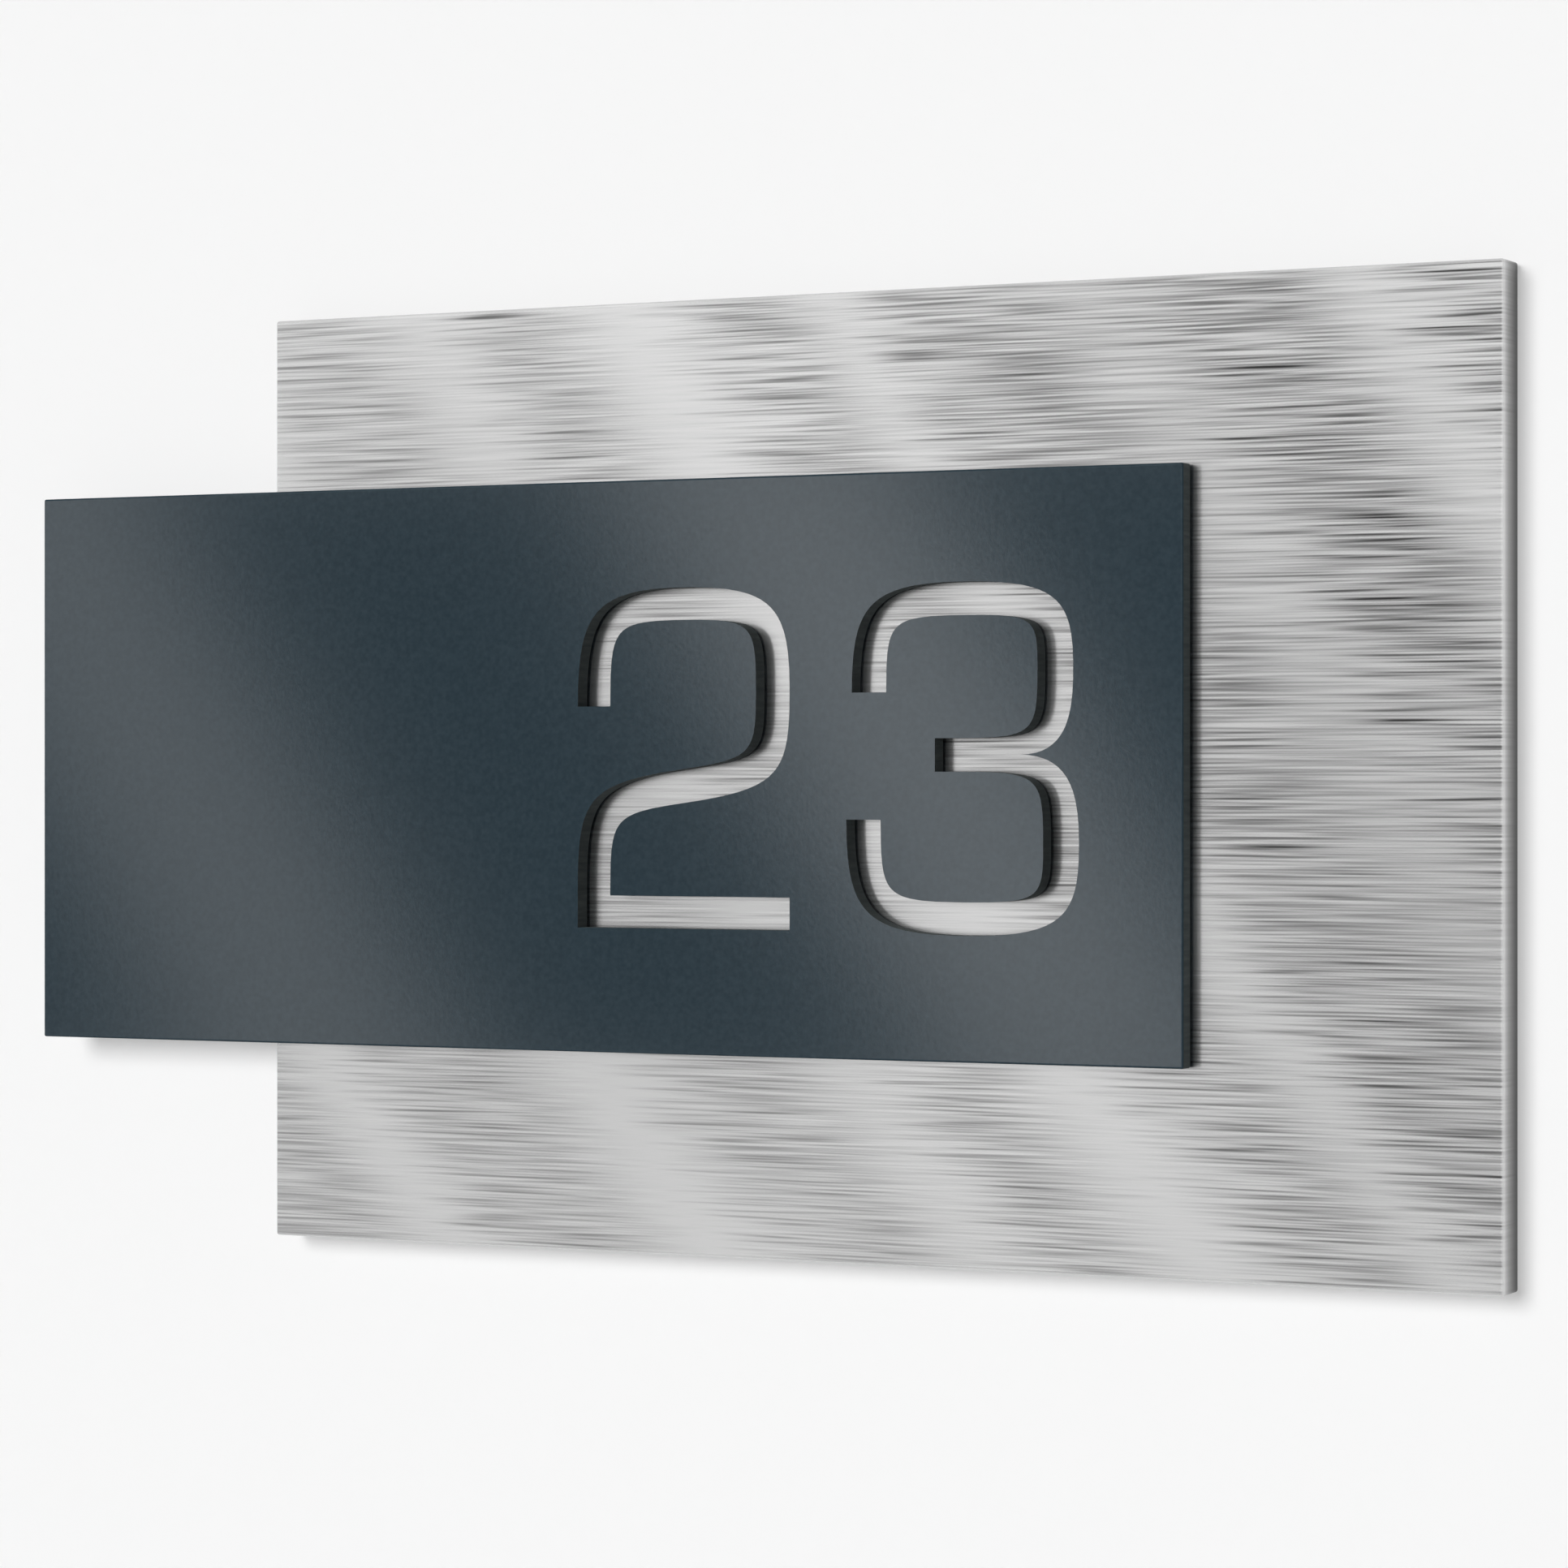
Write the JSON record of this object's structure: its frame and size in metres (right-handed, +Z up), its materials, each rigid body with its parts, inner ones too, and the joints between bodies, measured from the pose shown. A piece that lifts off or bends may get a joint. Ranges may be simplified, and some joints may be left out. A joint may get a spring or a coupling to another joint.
{
  "type": "house number plaque",
  "caption": "Two-layer wall plaque: a shallow brushed steel tray carries an offset anthracite plate with house number figures cut through it, on hidden studs.",
  "frame": {"origin": "middle of the steel tray on the plane of the wall, which is the centre of the wall stud pattern", "axes": "+X to the reader's right, +Y into the wall, +Z up; the plaque is read from -Y"},
  "size_m": [0.3385, 0.0461, 0.2],
  "materials": {
    "brushed_steel": "brushed along X, satin",
    "anthracite_coat": "fine textured satin powder coat",
    "stud_steel": "bright rolled thread",
    "fixing_steel": "plain bright",
    "nylon": "matt black"
  },
  "bodies": {
    "root": {"back_plate": "brushed_steel", "front_plate": "anthracite_coat", "front_studs": "stud_steel", "spacer_rings": "nylon", "stud_washers": "fixing_steel", "stud_nuts": "fixing_steel", "wall_studs": "stud_steel"}
  },
  "joints": []
}
